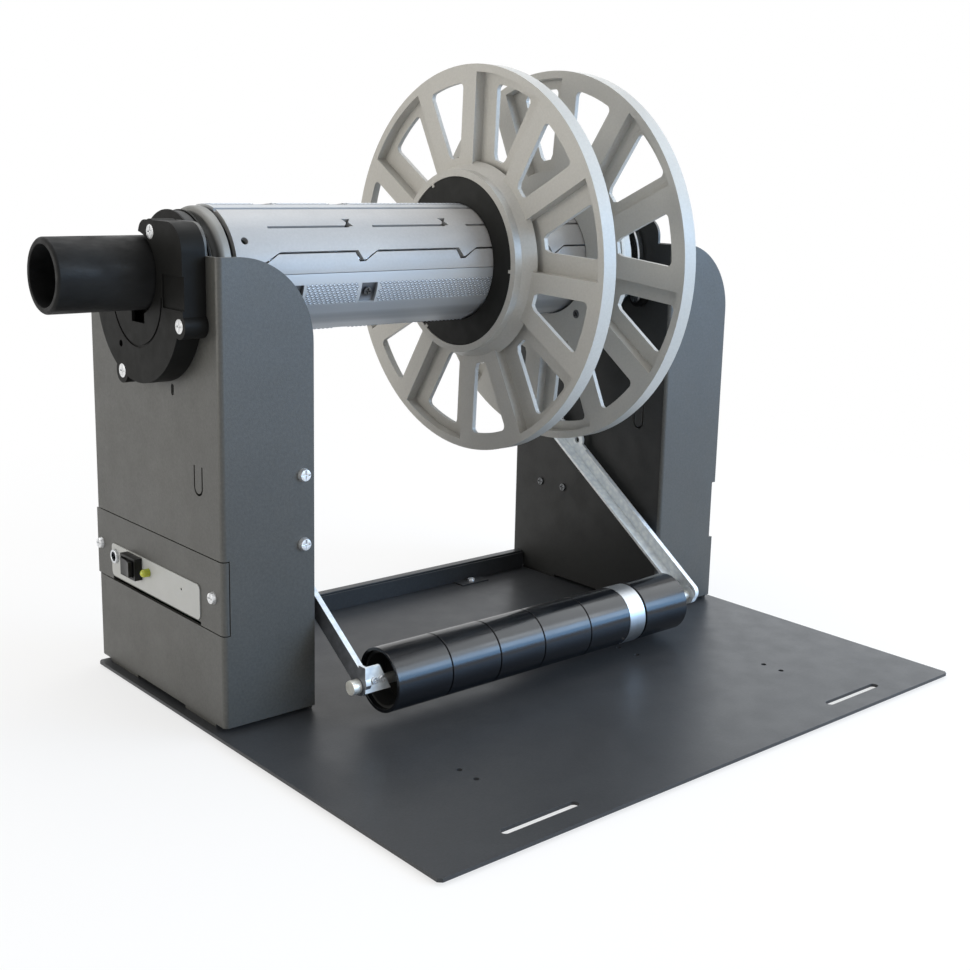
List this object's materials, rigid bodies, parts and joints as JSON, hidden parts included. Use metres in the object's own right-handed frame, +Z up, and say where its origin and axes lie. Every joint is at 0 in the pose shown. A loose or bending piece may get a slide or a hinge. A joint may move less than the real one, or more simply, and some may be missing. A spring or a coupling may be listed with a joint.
{
  "type": "label unwinder",
  "caption": "Bench label unwinder: charcoal sheet metal towers on a slotted plate, an expanding knurled mandrel with two spoked sliding flanges, and a swinging guide roller.",
  "frame": {"origin": "centre of the base plate, on the plane of the foot pads' underside", "axes": "+X along the mandrel from the handle tube to the plain tower, +Y from the slotted front edge to the rear rail, +Z up"},
  "size_m": [0.488, 0.3888, 0.3838],
  "materials": {
    "plate_coat": "semi-gloss charcoal powder coat",
    "tower_coat": "fine textured charcoal powder coat",
    "rubber_pad": "matt",
    "zinc_screw": "bright zinc",
    "dark_screw": "dark zinc",
    "label_grey": "satin light grey",
    "black_plastic": "satin black",
    "black_gloss": "glossy black",
    "lamp_yellow": "translucent yellow-green",
    "steel": "turned",
    "galvanised": "galvanised sheet",
    "cast_grey": "satin warm grey",
    "panel_alu": "satin",
    "jaw_alu": "satin, knurled strips",
    "collar_grey": "satin pale grey",
    "board_green": "green lacquer"
  },
  "bodies": {
    "base": {"base_plate": "plate_coat", "foot_pads": "rubber_pad", "rear_rail": "plate_coat", "rail_liner": "plate_coat", "rail_screw": "zinc_screw", "left_tower": "tower_coat", "right_tower": "tower_coat", "left_inner_cover": "tower_coat", "right_outer_cover": "tower_coat", "tower_screws": "zinc_screw", "web_screws": "dark_screw", "control_panel": "tower_coat", "panel_label": "label_grey", "panel_screws": "zinc_screw", "switch_body": "black_plastic", "power_socket": "steel", "signal_lamp": "lamp_yellow", "side_cover": "black_plastic", "cover_screws": "zinc_screw", "bearing_ring": "steel", "motor_bracket": "galvanised", "gear_motor": "steel", "drive_belt": "rubber_pad", "control_board": "board_green", "arm_pivot_pins": "steel"},
    "rocker": {"switch_rocker": "black_plastic"},
    "spindle": {"handle_tube": "black_plastic", "journal": "steel", "belt_pulley": "black_plastic", "steel_disc": "steel", "end_collar": "collar_grey", "core_tube": "steel", "core_spiders": "cast_grey", "right_plug": "black_plastic", "end_ring": "steel", "jaw_lower": "jaw_alu", "wide_panel_lower": "panel_alu", "narrow_panel_front": "panel_alu", "jaw_screws_lower": "dark_screw"},
    "sliding_shell": {"jaw_upper": "jaw_alu", "wide_panel_upper": "panel_alu", "narrow_panel_back": "panel_alu", "jaw_screws_upper": "dark_screw"},
    "near_flange_body": {"near_flange": "cast_grey", "near_grip_ring": "black_plastic", "grip_screws_near": "dark_screw"},
    "far_flange_body": {"far_flange": "cast_grey", "far_grip_ring": "black_plastic", "grip_screws_far": "dark_screw"},
    "motor_pulley_body": {"motor_pulley": "black_plastic"},
    "front_support_roller": {"support_roller_front": "black_plastic"},
    "rear_support_roller": {"support_roller_rear": "black_plastic"},
    "arms": {"left_arm": "galvanised", "right_arm": "galvanised", "tab_screws": "zinc_screw", "guide_axle": "steel"},
    "guide_roller": {"guide_sleeves": "black_gloss", "guide_band": "galvanised", "guide_tube": "dark_screw", "guide_plugs": "black_plastic"}
  },
  "joints": [
    {"name": "switch_rock", "type": "hinge", "parent": "base", "child": "rocker", "pos_m": [-0.2115, 0.1285, 0.0771], "axis": [0, 0, 1], "range_deg": [-8, 8]},
    {"name": "spindle_spin", "type": "hinge", "parent": "base", "child": "spindle", "pos_m": [-0.0125, 0.0875, 0.2575], "axis": [1, 0, 0], "continuous": true},
    {"name": "shell_expand", "type": "slide", "parent": "spindle", "child": "sliding_shell", "axis": [0.8911, 0.144, 0.4304], "range_m": [-0.0013, 0]},
    {"name": "near_flange_slide", "type": "slide", "parent": "spindle", "child": "near_flange_body", "axis": [1, 0, 0], "range_m": [-0.12, 0.015]},
    {"name": "far_flange_slide", "type": "slide", "parent": "spindle", "child": "far_flange_body", "axis": [1, 0, 0], "range_m": [-0.02, 0.015]},
    {"name": "motor_pulley_spin", "type": "hinge", "parent": "base", "child": "motor_pulley_body", "pos_m": [-0.1978, 0.0875, 0.1675], "axis": [1, 0, 0], "continuous": true},
    {"name": "front_support_spin", "type": "hinge", "parent": "base", "child": "front_support_roller", "pos_m": [0.144, 0.05077, 0.2315], "axis": [1, 0, 0], "continuous": true},
    {"name": "rear_support_spin", "type": "hinge", "parent": "base", "child": "rear_support_roller", "pos_m": [0.144, 0.12423, 0.2315], "axis": [1, 0, 0], "continuous": true},
    {"name": "arm_swing", "type": "hinge", "parent": "base", "child": "arms", "pos_m": [0, 0.12852, 0.1315], "axis": [1, 0, 0], "range_deg": [-42, 0]},
    {"name": "guide_roller_spin", "type": "hinge", "parent": "arms", "child": "guide_roller", "pos_m": [0, -0.013, 0.0285], "axis": [1, 0, 0], "continuous": true}
  ],
  "couplings": [
    {"joint": "motor_pulley_spin", "follows": "spindle_spin", "ratio": 3},
    {"joint": "front_support_spin", "follows": "spindle_spin", "ratio": -5.2817},
    {"joint": "rear_support_spin", "follows": "spindle_spin", "ratio": -5.2817}
  ]
}
